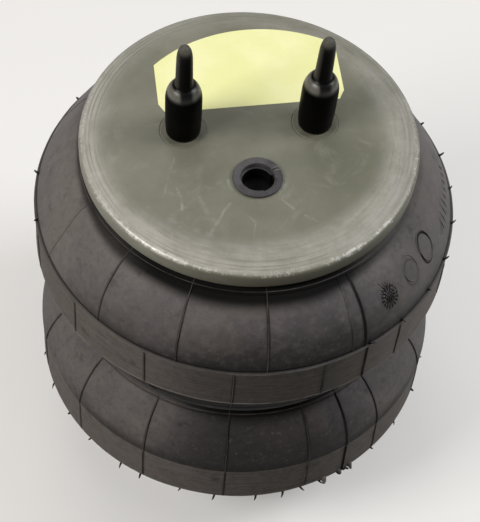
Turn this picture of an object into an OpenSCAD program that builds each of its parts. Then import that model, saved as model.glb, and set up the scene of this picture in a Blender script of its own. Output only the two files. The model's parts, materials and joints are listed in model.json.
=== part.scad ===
// Double-convolution air bellows actuator, standing on its lower bead plate.
// Millimetres, +Z up, origin at the middle of the lower plate's outer face.

/* [Overall] */
// Height over the outer faces of the two bead plates, fully extended
rest_height = 309; // [300:1:318]
// Outside diameter over the crests of the convolutions
bellows_od = 293; // [288:1:300]
// Height from the lower crest to the upper crest
crest_pitch = 135.4; // [131:0.2:140]

/* [Rubber wall] */
// Thickness of the cord-reinforced wall
wall_t = 6.5; // [5:0.5:8]
// Height of the straight belt at each crest
belt_h = 37.4; // [33:0.2:41]
// How far a belt stands proud of the wall that leads to its plate
belt_step = 1.2; // [0.6:0.1:1.8]
// Outward bow of the wall between a plate and its belt
shoulder_bow = 2.7; // [2:0.1:5]
// Outward bow of the wall between a belt and the waist
waist_bow = 6.4; // [4.5:0.1:8]
// Radius of the raised mould parting ridges and of the sealing lip
ridge_r = 1.2; // [0.6:0.1:2]
// Gap between the curl of a plate and the wall that leaves the bead
neck_gap = 3; // [2:0.5:5]
// How far the root of the wall lies outside the curl's inner edge
neck_reach = 4; // [3:0.5:6]
// Diameter at the bottom of the groove between the convolutions
groove_d = 228; // [220:1:236]
// How far the waist reaches up the walls from the bottom of the groove
waist_reach = 4; // [3:0.5:6]
// Thickness of rubber inside the bottom of the groove
waist_t = 7; // [5:0.5:9]

/* [Girdle hoop] */
// Thickness of the round hoop in the waist groove
hoop_d = 6.4; // [5:0.2:8]

/* [Bead plates] */
// Outside diameter of the crimped rim
plate_od = 228.6; // [226:0.1:231]
// Sheet thickness
plate_t = 3; // [2.5:0.1:3.2]
// Width of the rolled shoulder from the flat panel to the outside of the rim
shoulder_w = 14.3; // [12:0.1:18]
// Height of each rolled step between the panel and the rim
roll_step = 0.5; // [0.2:0.1:0.8]
// Height lost from the panel to the top of the rim corner
shoulder_drop = 2.6; // [2:0.1:3.5]
// Outside radius of the rim corner
corner_r = 4; // [3.8:0.1:5]
// Height of the rim over the curl
rim_h = 16.5; // [15:0.5:18]
// Outside radius of the curl under the rim
curl_r = 3.6; // [3.4:0.1:4]
// Reach of the curl inwards from the outside of the rim
curl_w = 6.3; // [5.5:0.1:7]

/* [Beads] */
// Width of the rubber bead, from the outside of the rim inwards
bead_w = 18.3; // [17:0.1:21]
// Thickness of the bead wire bundle
bead_wire_d = 6.4; // [5:0.2:7]
// Height of the bead wire's centre over the plate's outer face
bead_wire_z = 10.5; // [9.5:0.1:11.5]

/* [Studs and caps] */
// Distance between the two studs
stud_pitch = 88.9; // [80:0.1:95]
// Offset of the stud line from the middle of the plate
stud_y = 6; // [0:0.5:10]
// Outside diameter of a stud
stud_d = 19.05; // [18:0.05:20]
// Length of a stud above the plate
stud_len = 30; // [25:0.5:32]
// Diameter of the stud head inside the bellows
stud_head_d = 36; // [30:0.5:40]
// Thickness of the stud head
stud_head_t = 5; // [4:0.5:6]
// Chamfer at the end of a stud
stud_chamfer = 1.6; // [0.8:0.1:2.5]
// Diameter of the pressed ring around each stud
stud_ring_d = 31; // [29:0.5:34]
// Width and depth of the pressed ring
stud_ring_size = 1.2; // [0.8:0.1:1.6]
// Outside diameter of a cap
cap_d = 24.2; // [23.4:0.1:26]
// Height of the straight part of a cap
cap_body_h = 34; // [33.5:0.5:38]
// Height of the domed shoulder of a cap
cap_dome_h = 12; // [9:0.5:14]
// Overall height of a cap
cap_h = 83; // [76:1:88]
// Nose diameter where it leaves the dome
nose_base_d = 12.4; // [12:0.1:13.5]
// Nose diameter at its tip
nose_tip_d = 11; // [10:0.1:11.5]
// Room left over the end of the stud
cap_roof_gap = 1; // [0.6:0.1:2]
// Wall left around the hollow in the nose
nose_wall = 2.4; // [2:0.1:3]

/* [Air port] */
// Distance of the port from the stud line
port_offset = 44.45; // [42:0.05:47]
// Bore of the port boss
port_bore_d = 26.2; // [25:0.1:27]
// Outside diameter of the boss under the plate
boss_d = 38; // [36.5:0.5:39]
// Depth of the boss under the plate
boss_h = 16; // [14:0.5:18]
// Diameter of the boss collar in the plate
boss_collar_d = 31.6; // [30.5:0.1:32]
// Flange diameter of the plug
plug_flange_d = 33; // [32.5:0.1:36]
// Flange thickness of the plug
plug_flange_t = 2; // [1.4:0.1:2.6]
// Depth of the plug's cup in the bore
plug_cup_h = 14; // [10:0.5:15]
// Wall of the plug's cup
plug_wall = 1.5; // [1.2:0.1:1.9]
// Width of the step inside the plug's mouth
plug_lip_w = 1.1; // [0.6:0.1:1.4]
// Depth of that step under the flange
plug_lip_z = 2.2; // [1.6:0.1:3]
// Direction of the pull slit in the plug's flange
plug_slit_angle = 24; // [0:1:60]
// Width of the pull slit
plug_slit_w = 1.6; // [1:0.1:2.4]

/* [Blind nuts] */
// Distance between the two blind nuts
nut_pitch = 88.9; // [82:0.1:95]
// Tapping bore of a blind nut
nut_bore_d = 8.2; // [7.6:0.1:8.8]
// Depth of the bore from the plate's outer face
nut_bore_depth = 15; // [13:0.5:16]
// Width across flats of a blind nut
nut_flats = 17.5; // [16:0.5:19]
// Height of a blind nut above the plate
nut_h = 15; // [14.5:0.5:18]
// Diameter of the nut collar in the plate
nut_collar_d = 14; // [12:0.1:15]

/* [Bumper] */
// Height of the bump stop
bumper_h = 118; // [108:1:119]
// Diameter of the bump stop at its foot
bumper_foot_d = 62; // [56:1:66]
// Diameter of the bump stop at its top
bumper_top_d = 35; // [30:1:37]
// Length of the straight top of the bump stop
bumper_top_h = 24; // [20:1:28]
// Bore that vents the bump stop
bumper_vent_d = 9; // [6:0.5:12]
// Diameter of the button's stem
button_stem_d = 18; // [14:0.5:20]
// Height of the button's stem
button_stem_h = 9; // [7:0.5:11]
// Diameter of the button's head
button_head_d = 28; // [24:0.5:32]
// Height of the button's head
button_head_h = 6; // [5:0.5:8]

/* [Fits] */
// Gap between neighbouring curved faces
fit_gap = 0.3; // [0.2:0.05:0.4]
// Gap under a piece that rests on a flat face
seat_gap = 0.1; // [0.05:0.05:0.2]

/* [Hidden] */
$fn = 120;

plate_r = plate_od / 2;
panel_r = plate_r - shoulder_w;
bead_in_r = plate_r - bead_w;
curl_in_r = plate_r - curl_w;
rim_corner_r = plate_r - corner_r;

crest_r = bellows_od / 2;
mid_z = rest_height / 2;
crest_z = mid_z - crest_pitch / 2;
neck_r = curl_in_r + neck_reach;
neck_z = rim_h + neck_gap;
groove_r = groove_d / 2;
foot_top_z = crest_z - belt_h / 2;
waist_foot_z = crest_z + belt_h / 2;
// One wall runs from the neck to the lower edge of the belt, the other from the belt to the groove
neck = [neck_r, neck_z];
belt_foot = [crest_r - belt_step, foot_top_z];
belt_top = [crest_r, waist_foot_z];
groove = [groove_r, mid_z];
foot_arc = bow_radius(belt_foot - neck, shoulder_bow);
waist_arc = bow_radius(groove - belt_top, waist_bow);
foot_c = bow_centre(neck, belt_foot, shoulder_bow);
waist_c = bow_centre(belt_top, groove, waist_bow);
hoop_r = waist_c[0] + side_of(waist_arc + hoop_d / 2 + fit_gap, mid_z - waist_c[1]);
port_y = stud_y - port_offset;
plug_cup_d = port_bore_d - 2 * fit_gap;
plug_bore_d = plug_cup_d - 2 * plug_wall;
overrun = 1;

// Radius of an arc over a chord, and its centre for a chord that runs upwards and bows outwards
function bow_radius(chord, bow) = (chord * chord / 4 + bow * bow) / (2 * bow);
function bow_centre(start, end, bow) = let (chord = end - start)
    (start + end) / 2 - (bow_radius(chord, bow) - bow) * [chord[1], -chord[0]] / norm(chord);
// Third side of a right triangle
function side_of(slant, side) = sqrt(max(0, slant * slant - side * side));

// Places a copy of the lower half's shape against the upper plate
module at_top() {
    translate([0, 0, rest_height]) mirror([0, 0, 1]) children();
}

// Places a part at the left (-1) or right (1) stud
module at_stud(side) {
    translate([side * stud_pitch / 2, stud_y, rest_height]) children();
}

// Filled section of a pressed plate, drawn a given depth inside its outer face
module dish(inset) {
    corner = corner_r - inset;
    curl = curl_r - inset;
    top = rim_h - inset;
    step_a = panel_r + (rim_corner_r - panel_r) / 3;
    step_b = panel_r + (rim_corner_r - panel_r) * 2 / 3;
    slope = (shoulder_drop - 2 * roll_step) / 3;
    polygon([
        [0, inset],
        [panel_r, inset],
        [step_a, inset + slope],
        [step_a + roll_step, inset + slope + roll_step],
        [step_b, inset + 2 * slope + roll_step],
        [step_b + roll_step, inset + 2 * slope + 2 * roll_step],
        [rim_corner_r, inset + shoulder_drop],
        [rim_corner_r, top],
        [0, top]
    ]);
    translate([rim_corner_r, shoulder_drop + corner_r]) circle(corner);
    translate([rim_corner_r - overrun, shoulder_drop + corner_r])
        square([corner + overrun, rim_h - curl_r - shoulder_drop - corner_r]);
    translate([plate_r - curl_r, rim_h - curl_r]) circle(curl);
    translate([rim_corner_r - overrun, rim_h - curl_r - overrun])
        square([plate_r - curl_r - rim_corner_r + overrun, curl + overrun]);
}

// Pressed plate: flat panel, rolled steps, rim and the curl that grips the bead
module pressed_plate() {
    rotate_extrude() difference() {
        dish(0);
        dish(plate_t);
        translate([0, rim_h / 2]) square([curl_in_r, rim_h]);
    }
}

// Ring of round section
module ring(middle_r, section_d, z) {
    translate([0, 0, z]) rotate_extrude() translate([middle_r, 0]) circle(d = section_d);
}

// Rubber bead: fills the curl, holds the wire in a groove and leads out to the wall
module bead_ring() {
    inner_face_r = plate_r - plate_t - fit_gap;
    under_curl_z = rim_h - plate_t - fit_gap;
    neck_in_z = foot_c[1] - side_of(foot_arc - wall_t, neck_r - foot_c[0]);
    floor_z = plate_t + fit_gap;
    rotate_extrude() difference() {
        polygon([
            [bead_in_r, floor_z],
            [panel_r, floor_z],
            [rim_corner_r - fit_gap, floor_z + shoulder_drop],
            [inner_face_r, floor_z + corner_r + shoulder_drop - plate_t],
            [inner_face_r, under_curl_z],
            [curl_in_r - fit_gap, under_curl_z],
            [curl_in_r - fit_gap, rim_h + fit_gap],
            [neck_r, neck_z],
            [neck_r, neck_in_z],
            [bead_in_r + wall_t, neck_in_z - wall_t / 2],
            [bead_in_r, neck_in_z - 1.5 * wall_t]
        ]);
        translate([bead_in_r, bead_wire_z]) circle(d = bead_wire_d + 2 * fit_gap);
    }
}

// Section of a wall along an arc
module bowed_wall(centre, radius) {
    translate(centre) difference() {
        circle(radius);
        circle(radius - wall_t);
    }
}

// Flexible wall from the bead, around the belt, to the waist, with its parting ridges and lip
module convolution() {
    lip_x = neck_r + 2.5 * ridge_r;
    wall_end_r = groove_r + waist_reach;
    belt_in_r = crest_r - wall_t;
    rotate_extrude() {
        intersection() {
            bowed_wall(foot_c, foot_arc);
            translate(neck) square([crest_r, foot_top_z - neck_z]);
        }
        translate([belt_in_r, foot_top_z]) square([wall_t, belt_h]);
        intersection() {
            bowed_wall(waist_c, waist_arc);
            translate([wall_end_r, waist_foot_z]) square([crest_r, mid_z - waist_foot_z]);
        }
        for (z = [foot_top_z, waist_foot_z]) {
            translate([belt_in_r + overrun, z - overrun]) square([wall_t / 2, 2 * overrun]);
            translate([crest_r - ridge_r / 2, z]) circle(ridge_r);
        }
        translate([lip_x, foot_c[1] - side_of(foot_arc, lip_x - foot_c[0])]) circle(ridge_r);
    }
}

module lower_bead_plate() {
    color([0.49, 0.49, 0.43]) difference() {
        pressed_plate();
        for (side = [-1, 1]) translate([side * nut_pitch / 2, 0, -overrun])
            cylinder(d = nut_collar_d + 2 * fit_gap, h = plate_t + 2 * overrun);
    }
}

module lower_bead_wire() {
    color([0.62, 0.60, 0.56]) ring(bead_in_r, bead_wire_d, bead_wire_z);
}

module lower_bead() {
    color([0.16, 0.15, 0.15]) bead_ring();
}

module lower_convolution() {
    color([0.22, 0.21, 0.21]) convolution();
}

// Closed nut with a collar that ends flush with the plate's outer face
module blind_nut(side) {
    color([0.70, 0.68, 0.62]) translate([side * nut_pitch / 2, 0, 0]) difference() {
        union() {
            cylinder(d = nut_collar_d, h = plate_t + overrun);
            translate([0, 0, plate_t]) cylinder(d = nut_flats / cos(30), h = nut_h, $fn = 6);
        }
        translate([0, 0, -overrun]) cylinder(d = nut_bore_d, h = nut_bore_depth + overrun);
    }
}

module left_blind_nut() {
    blind_nut(-1);
}

module right_blind_nut() {
    blind_nut(1);
}

// Half section of the button, grown by a given clearance
module button_section(grow) {
    square([button_stem_d / 2 + grow, button_stem_h + grow]);
    translate([0, button_stem_h - grow]) square([button_head_d / 2 + grow, button_head_h + 2 * grow]);
}

// Steel button welded in the middle of the lower plate
module bumper_button() {
    color([0.55, 0.54, 0.52]) translate([0, 0, plate_t]) rotate_extrude() button_section(0);
}

// Rubber bump stop snapped over the button
module bumper() {
    foot_h = button_stem_h + button_head_h;
    color([0.12, 0.12, 0.12]) translate([0, 0, plate_t]) rotate_extrude() difference() {
        polygon([
            [0, seat_gap],
            [bumper_foot_d / 2, seat_gap],
            [bumper_foot_d / 2, foot_h],
            [(bumper_foot_d + bumper_top_d) / 4, (foot_h + bumper_h - bumper_top_h) / 2],
            [bumper_top_d / 2, bumper_h - bumper_top_h],
            [bumper_top_d / 2, bumper_h - wall_t],
            [bumper_top_d / 2 - wall_t, bumper_h],
            [0, bumper_h]
        ]);
        button_section(fit_gap);
        square([bumper_vent_d / 2, bumper_h + overrun]);
    }
}

// Rubber waist between the two convolutions, with the groove that holds the hoop
module waist() {
    band_h = waist_arc / 2;
    color([0.16, 0.15, 0.15]) rotate_extrude() intersection() {
        union() for (z = [waist_c[1], rest_height - waist_c[1]]) bowed_wall([waist_c[0], z], waist_arc);
        translate([groove_r - waist_t, mid_z - band_h])
            square([waist_t + waist_reach - fit_gap, 2 * band_h]);
    }
}

module girdle_hoop() {
    color([0.20, 0.20, 0.20]) ring(hoop_r, hoop_d, mid_z);
}

module upper_convolution() {
    color([0.22, 0.21, 0.21]) at_top() convolution();
}

module upper_bead() {
    color([0.16, 0.15, 0.15]) at_top() bead_ring();
}

module upper_bead_wire() {
    color([0.62, 0.60, 0.56]) at_top() ring(bead_in_r, bead_wire_d, bead_wire_z);
}

module upper_bead_plate() {
    color([0.49, 0.49, 0.43]) difference() {
        at_top() pressed_plate();
        for (side = [-1, 1]) at_stud(side) {
            translate([0, 0, -plate_t - overrun])
                cylinder(d = stud_d + 2 * fit_gap, h = plate_t + 2 * overrun);
            rotate_extrude() translate([stud_ring_d / 2, 0]) circle(d = stud_ring_size);
        }
        translate([0, port_y, rest_height - plate_t - overrun])
            cylinder(d = boss_collar_d + 2 * fit_gap, h = plate_t + 2 * overrun);
    }
}

// Stud with its head seated under the plate
module stud(side) {
    color([0.72, 0.70, 0.64]) at_stud(side) rotate_extrude() polygon([
        [0, -plate_t - stud_head_t],
        [stud_head_d / 2, -plate_t - stud_head_t],
        [stud_head_d / 2, -plate_t],
        [stud_d / 2, -plate_t],
        [stud_d / 2, stud_len - stud_chamfer],
        [stud_d / 2 - stud_chamfer, stud_len],
        [0, stud_len]
    ]);
}

module left_stud() {
    stud(-1);
}

module right_stud() {
    stud(1);
}

// Round weld boss with a collar that ends flush with the plate's outer face
module port_boss() {
    color([0.55, 0.54, 0.50]) translate([0, port_y, rest_height]) rotate_extrude() polygon([
        [port_bore_d / 2, 0],
        [boss_collar_d / 2, 0],
        [boss_collar_d / 2, -plate_t],
        [boss_d / 2, -plate_t],
        [boss_d / 2, -plate_t - boss_h],
        [port_bore_d / 2, -plate_t - boss_h]
    ]);
}

// Soft cap pulled over a stud: straight body, domed shoulder and a long hollow nose
module stud_cap(side) {
    body_r = cap_d / 2;
    base_r = nose_base_d / 2;
    tip_r = nose_tip_d / 2;
    hollow_r = stud_d / 2 + fit_gap;
    roof_z = stud_len + cap_roof_gap;
    dome_steps = 8;
    color([0.05, 0.05, 0.05]) at_stud(side) translate([0, 0, seat_gap]) rotate_extrude() difference() {
        polygon([
            [0, 0],
            [body_r, 0],
            for (i = [0:dome_steps]) let (a = 90 * i / dome_steps)
                [base_r + (body_r - base_r) * cos(a), cap_body_h + cap_dome_h * sin(a)],
            for (i = [0:dome_steps]) let (a = 90 * i / dome_steps)
                [tip_r * cos(a), cap_h - tip_r + tip_r * sin(a)]
        ]);
        square([hollow_r, roof_z]);
        square([base_r - nose_wall, cap_h - tip_r - nose_wall]);
    }
}

module left_stud_cap() {
    stud_cap(-1);
}

module right_stud_cap() {
    stud_cap(1);
}

// Pull plug in the air port: flange, thin stepped cup, pull slit and a notch beside it
module port_plug() {
    mouth_r = plug_bore_d / 2 - plug_lip_w;
    color([0.10, 0.10, 0.11]) translate([0, port_y, rest_height + seat_gap]) difference() {
        rotate_extrude() difference() {
            union() {
                translate([0, -plug_cup_h]) square([plug_cup_d / 2, plug_cup_h + plug_flange_t / 2]);
                square([plug_flange_d / 2 - plug_flange_t / 2, plug_flange_t]);
                translate([plug_flange_d / 2 - plug_flange_t / 2, plug_flange_t / 2])
                    circle(d = plug_flange_t);
            }
            translate([0, plug_wall - plug_cup_h]) square([mouth_r, plug_cup_h]);
            translate([0, -plug_lip_z]) square([plug_bore_d / 2, plug_lip_z + plug_flange_t + overrun]);
        }
        rotate([0, 0, plug_slit_angle]) translate([mouth_r - overrun, -plug_slit_w / 2, -plug_wall])
            cube([plug_flange_d / 2 - mouth_r - overrun, plug_slit_w, plug_wall + plug_flange_t + overrun]);
        rotate([0, 0, plug_slit_angle - 90]) translate([mouth_r / 2, -mouth_r / 4, plug_flange_t / 2])
            cube([mouth_r / 2 + 2 * plug_lip_w, mouth_r, plug_flange_t]);
    }
}

lower_bead_plate();
lower_bead_wire();
lower_bead();
lower_convolution();
left_blind_nut();
right_blind_nut();
bumper_button();
bumper();
waist();
girdle_hoop();
upper_convolution();
upper_bead();
upper_bead_wire();
upper_bead_plate();
left_stud();
right_stud();
port_boss();
left_stud_cap();
right_stud_cap();
port_plug();
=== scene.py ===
import json
import math
import random

import bmesh
import bpy
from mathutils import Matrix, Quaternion, Vector, noise


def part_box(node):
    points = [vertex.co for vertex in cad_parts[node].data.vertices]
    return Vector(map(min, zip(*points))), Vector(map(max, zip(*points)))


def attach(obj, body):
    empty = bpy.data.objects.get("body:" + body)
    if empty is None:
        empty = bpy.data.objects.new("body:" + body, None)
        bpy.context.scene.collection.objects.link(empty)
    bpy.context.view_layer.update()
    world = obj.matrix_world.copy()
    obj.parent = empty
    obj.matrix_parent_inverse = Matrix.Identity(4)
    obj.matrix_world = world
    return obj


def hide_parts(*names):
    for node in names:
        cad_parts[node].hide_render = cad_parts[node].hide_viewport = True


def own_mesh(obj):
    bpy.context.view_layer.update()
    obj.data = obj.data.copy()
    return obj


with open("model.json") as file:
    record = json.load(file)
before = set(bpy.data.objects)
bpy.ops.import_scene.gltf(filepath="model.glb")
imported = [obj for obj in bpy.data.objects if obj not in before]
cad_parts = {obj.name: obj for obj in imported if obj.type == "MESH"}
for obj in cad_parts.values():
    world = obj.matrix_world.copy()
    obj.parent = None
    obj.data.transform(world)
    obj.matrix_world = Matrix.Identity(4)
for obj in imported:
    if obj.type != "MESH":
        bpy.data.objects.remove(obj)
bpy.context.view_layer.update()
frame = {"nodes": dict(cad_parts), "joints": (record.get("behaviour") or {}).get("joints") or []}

nodes = frame["nodes"]
mm = 0.001  # shapes are written in millimetres, Blender works in metres
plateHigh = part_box("upper_bead_plate")[1]
fullHeight = plateHigh.z / mm  # over the outer faces of the two plates
midHeight = fullHeight / 2
print("frame loaded,", len(nodes), "nodes")


# shader tools: Wire is a node's output with arithmetic, Finish is one material

class Wire:
    def __init__(self, finish, socket):
        self.finish, self.socket = finish, socket

    def maths(self, operation, *others):
        return self.finish.maths(operation, self, *others)

    def most(self, *others):  # the largest of these
        largest = self
        for other in others:
            largest = largest.maths("MAXIMUM", other)
        return largest

    def __add__(self, other):
        return self.maths("ADD", other)

    def __sub__(self, other):
        return self.maths("SUBTRACT", other)

    def __rsub__(self, other):
        return self.finish.maths("SUBTRACT", other, self)

    def __mul__(self, other):
        return self.maths("MULTIPLY", other)

    def __truediv__(self, other):
        return self.maths("DIVIDE", other)

    def __rtruediv__(self, other):
        return self.finish.maths("DIVIDE", other, self)

    __radd__ = __add__
    __rmul__ = __mul__


class Finish:
    def __init__(self, name, **shader):
        self.material = bpy.data.materials.new(name)
        self.material.use_nodes = True
        self.tree = self.material.node_tree
        self.shader = self.tree.nodes["Principled BSDF"]
        self.set(**shader)

    def set(self, **shader):  # baseColor=... feeds the socket Base Color
        for key, value in shader.items():
            words = "".join(" " + c if c.isupper() else c for c in key).title()
            self.feed(self.shader.inputs[words.replace("Ior", "IOR")], value)

    def feed(self, socket, value):
        if isinstance(value, Wire):
            self.tree.links.new(value.socket, socket)
        elif isinstance(value, tuple) and len(value) == 3 and socket.type == "RGBA":
            socket.default_value = (*value, 1)
        else:
            socket.default_value = value

    def node(self, kind, settings=None, sockets=None, output=0):
        made = self.tree.nodes.new(kind)
        for key, value in (settings or {}).items():
            setattr(made, key, value)
        for key, value in (sockets or {}).items():
            self.feed(made.inputs[key], value)
        return Wire(self, made.outputs[output])

    def maths(self, operation, *values):
        return self.node("ShaderNodeMath", {"operation": operation}, dict(enumerate(values)))

    def coords(self):
        return self.node("ShaderNodeTexCoord", output="Object")

    def parts(self, vector):
        split = self.node("ShaderNodeSeparateXYZ", None, {0: vector})
        return [Wire(self, split.socket.node.outputs[i]) / mm for i in range(3)]  # in mm

    def join(self, x, y, z):
        return self.node("ShaderNodeCombineXYZ", None, {0: x, 1: y, 2: z})

    def length(self, x, y):  # distance from the origin
        return (x * x + y * y).maths("SQRT")

    def facing(self, axis):  # how far the surface faces along x, y or z
        direction = self.node("ShaderNodeNewGeometry", output="Normal")
        return self.node("ShaderNodeSeparateXYZ", None, {0: direction}, axis)

    def noise(self, vector, scale, detail=4, roughness=0.55, distortion=0):
        return self.node("ShaderNodeTexNoise", None, {"Vector": vector, "Scale": scale, "Detail": detail,
                         "Roughness": roughness, "Distortion": distortion})

    def fade(self, value, low, high):  # 0 below low, 1 above high, smooth between
        return self.node("ShaderNodeMapRange", {"interpolation_type": "SMOOTHSTEP"},
                         {0: value, 1: low, 2: high})

    def line(self, value, middle, width):  # 1 at middle, 0 a width away
        return 1 - self.fade((value - middle).maths("ABSOLUTE"), 0, width)

    def stroke(self, x, y, start, end, width):  # 1 on the line between two points
        dx, dy = end[0] - start[0], end[1] - start[1]
        share = (x - start[0]) * (dx / (dx * dx + dy * dy)) + (y - start[1]) * (dy / (dx * dx + dy * dy))
        share = share.maths("MAXIMUM", 0).maths("MINIMUM", 1)
        offX, offY = x - start[0] - share * dx, y - start[1] - share * dy
        return 1 - self.fade(self.length(offX, offY), 0, width)

    def mix(self, factor, first, second):
        return self.node("ShaderNodeMix", {"data_type": "RGBA"}, {0: factor, 6: first, 7: second}, 2)

    def bump(self, height, distance, strength, normal=None):
        sockets = {"Height": height, "Distance": distance * mm, "Strength": strength}
        if normal:
            sockets["Normal"] = normal
        return self.node("ShaderNodeBump", None, sockets)


# shape tools, in millimetres

class Shell:  # points and faces of one piece
    def __init__(self):
        self.points, self.faces = [], []

    def add(self, points, faces):
        first = len(self.points)
        self.points += [tuple(p) for p in points]
        self.faces += [tuple(first + i for i in face) for face in faces]

    def rings(self, rings, closedRound=True, closedAlong=False, capped=False):
        # joins rings of equal length to a skin
        n, count = len(rings[0]), len(rings)
        faces = []
        for k in range(count if closedAlong else count - 1):
            after = (k + 1) % count
            for i in range(n if closedRound else n - 1):
                j = (i + 1) % n
                faces.append((k * n + i, k * n + j, after * n + j, after * n + i))
        if capped:
            faces += [tuple(range(n)), tuple(range((count - 1) * n, count * n))]
        self.add([p for ring in rings for p in ring], faces)

    def spin(self, outlines, centre=(0, 0), base=0, closed=False):  # one outline for each step of a turn
        turned = []
        for k, outline in enumerate(outlines):
            c, s = math.cos(math.tau * k / len(outlines)), math.sin(math.tau * k / len(outlines))
            turned.append([(centre[0] + r * c, centre[1] + r * s, base + z) for r, z in outline])
        self.rings(turned, closed, True)
        return self

    def flat(self, z, outer, holes, steps):  # round sheet with round holes
        work = bmesh.new()
        for x, y, radius in [(0, 0, outer), *holes]:
            turn = steps if radius == outer else steps // 4
            ring = [work.verts.new((x + radius * math.cos(math.tau * k / turn),
                                    y + radius * math.sin(math.tau * k / turn), z)) for k in range(turn)]
            for k in range(turn):
                work.edges.new((ring[k], ring[(k + 1) % turn]))
        bmesh.ops.triangle_fill(work, use_beauty=True, edges=work.edges[:])
        work.verts.index_update()
        self.add([v.co for v in work.verts], [[v.index for v in f.verts] for f in work.faces])
        work.free()

    def stoodOnTop(self):  # the lower shape, turned over against the upper plate
        self.points = [(x, y, fullHeight - z) for x, y, z in self.points]
        return self

    def make(self, name, finish, body, slotName=None, replaced=(), sharp=38):
        mesh = bpy.data.meshes.new(name)
        mesh.from_pydata([Vector(p) * mm for p in self.points], [], self.faces)
        work = bmesh.new()
        work.from_mesh(mesh)
        bmesh.ops.remove_doubles(work, verts=work.verts, dist=0.001 * mm)
        loose = [edge for edge in work.edges if not edge.link_faces]
        bmesh.ops.delete(work, geom=loose, context="EDGES")
        bmesh.ops.recalc_face_normals(work, faces=work.faces)
        work.to_mesh(mesh)
        work.free()
        mesh.polygons.foreach_set("use_smooth", [True] * len(mesh.polygons))
        mesh.set_sharp_from_angle(angle=math.radians(sharp))
        mesh.materials.append(finish.material)
        piece = bpy.data.objects.new(name, mesh)
        bpy.context.scene.collection.objects.link(piece)
        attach(piece, body)
        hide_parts(*replaced)
        print("made", name, len(mesh.polygons), "faces")
        return piece


def smooth(value, low, high):
    t = min(1, max(0, (value - low) / (high - low)))
    return t * t * (3 - 2 * t)


def arc(centre, radius, start, end, steps):  # points of an arc, angles in degrees
    turns = [math.radians(start + (end - start) * i / steps) for i in range(steps + 1)]
    return [(centre[0] + radius * math.cos(t), centre[1] + radius * math.sin(t)) for t in turns]


def eased(path, cut):  # cuts each inner corner of an open path
    out = [path[0]]
    for before, here, after in zip(path, path[1:], path[2:]):
        for other in (before, after):
            step = Vector(other) - Vector(here)
            out.append(tuple(Vector(here) + step * min(cut / step.length, 0.4)))
    return out + [path[-1]]


# pressed bead plates

plate = {
    "radius": plateHigh.x / mm, "sheet": 3, "shoulder": 14.3, "rollStep": 0.5, "drop": 2.6,
    "corner": 4, "rim": 16.5, "curl": 3.6, "curlReach": 6.3, "turnSteps": 360,
    "studs": [(-44.45, 6), (44.45, 6)], "studHole": 9.825, "ringRadius": 15.5, "ringWidth": 1.2,
    "port": (0, -38.45), "portHole": 16.1, "nuts": [(-44.45, 0), (44.45, 0)], "nutHole": 7.3,
    "olive": (0.138, 0.138, 0.101), "faded": (0.192, 0.189, 0.146), "bare": (0.55, 0.535, 0.49),
    "dust": (0.44, 0.42, 0.38), "scuff": (0.52, 0.52, 0.50), "shade": (0.075, 0.070, 0.043),
    "groove": (0.07, 0.068, 0.05), "capShade": (0.085, 0.08, 0.055), "speck": (0.1, 0.1, 0.075),
    # between which places each side of the plate fades in, along x or y
    "leftSide": (-70, 40), "farLeft": (-75, 0), "rightSide": (20, 80), "front": (45, 90),
    "wornRadius": 112.4, "wornWidth": 0.9, "capShadeRadius": 13.5, "capShadeWidth": 4,
    # radius, width and strength of each rolling line
    "rollLines": [(101.4, 0.45, 0.35), (104.1, 0.5, 0.45), (107.2, 0.6, 0.8), (109.6, 0.8, 1.0)],
    "scratches": [  # start, end, width and strength of each mark on the upper panel
        (-53.6, -16.6, -62.4, -49.0, 0.8, 0.3), (-52.9, -42.6, -52.1, -59.9, 1.0, 0.5),
        (-58.8, -45.2, -51.8, -48.6, 1.2, 0.25), (-40.7, -50.7, -36.5, -63.1, 2.4, 0.25),
        (-20.3, -57.4, -35.7, -79.1, 1.1, 0.4), (-60.2, -68.0, -35.9, -81.1, 2.6, 0.3),
        (-11.1, -67.2, -5.4, -73.7, 0.9, 0.35), (-5.4, -73.7, -8.4, -87.2, 0.8, 0.3),
        (-75.7, -53.9, -71.9, -56.3, 1.3, 0.3), (-18.1, -39.0, -17.4, -46.4, 1.3, 0.4),
        (12.6, -55.4, 19.9, -64.5, 0.8, 0.5), (26.6, -70.3, 33.9, -75.7, 0.8, 0.5),
        (-6.6, -93.7, 1.2, -97.4, 1.0, 0.4), (17.6, -38.2, 12.4, -53.0, 3.4, 0.45),
    ],
}
panelRadius = plate["radius"] - plate["shoulder"]


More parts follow.
